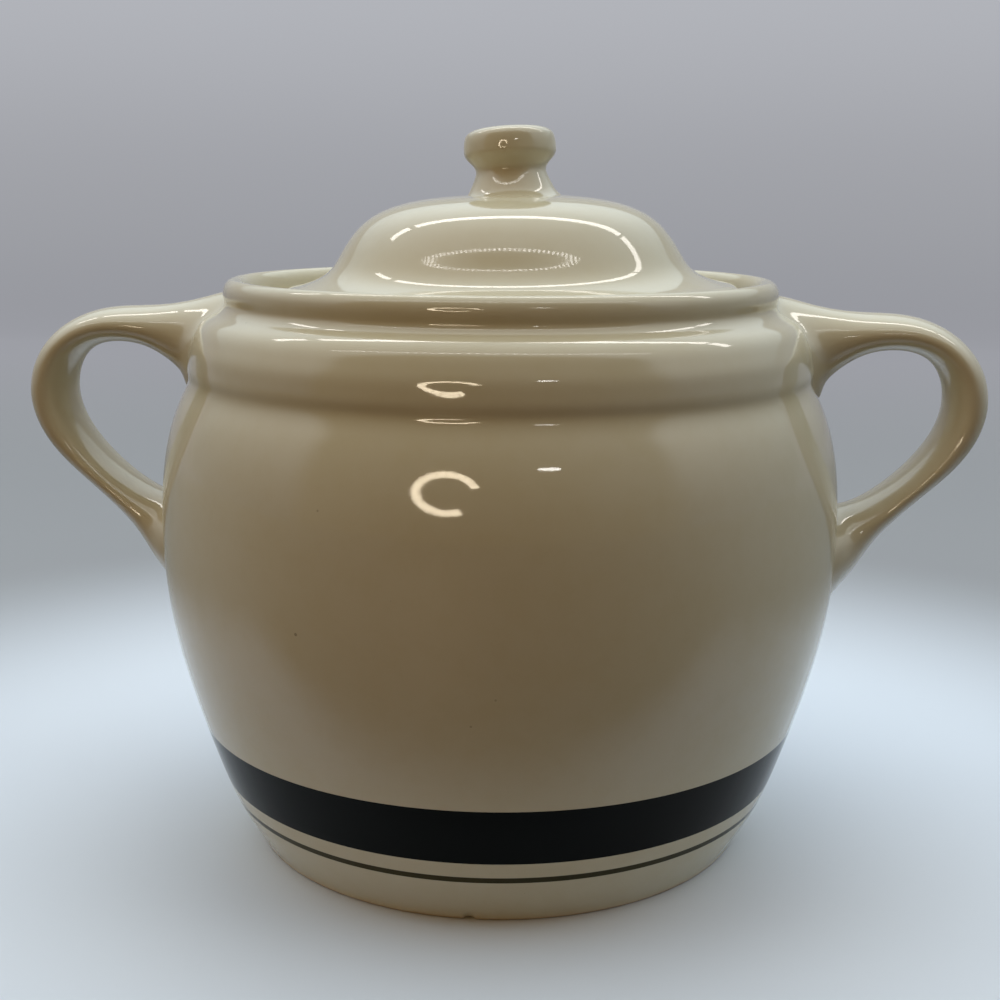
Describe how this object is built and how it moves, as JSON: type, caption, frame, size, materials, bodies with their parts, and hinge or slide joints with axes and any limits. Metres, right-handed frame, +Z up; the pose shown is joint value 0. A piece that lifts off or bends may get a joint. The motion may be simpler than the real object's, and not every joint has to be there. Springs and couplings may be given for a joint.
{
  "type": "lidded bean pot",
  "caption": "Round-bellied glazed stoneware bean pot with two strap handles, a rolled rim and a loose domed lid with a turned knob.",
  "frame": {"origin": "centre of the foot, on the surface the pot stands on", "axes": "+Z up along the pot's axis, +X towards handle_right, +Y away from the front"},
  "size_m": [0.2646, 0.1862, 0.1952],
  "materials": {
    "cream_glaze": "glossy cream glaze over stoneware",
    "wide_band_colour": "glossy near-black green under the glaze",
    "pin_line_colour": "glossy dark olive brown under the glaze"
  },
  "bodies": {
    "pot": {"pot_body": "cream_glaze", "handle_right": "cream_glaze", "handle_left": "cream_glaze", "wide_band": "wide_band_colour", "pin_line": "pin_line_colour"},
    "lid": {"lid_shell": "cream_glaze", "lid_knob": "cream_glaze"}
  },
  "joints": [
    {"name": "lid_lift", "type": "slide", "parent": "pot", "child": "lid", "axis": [0, 0, 1], "range_m": [0, 0.15]}
  ]
}
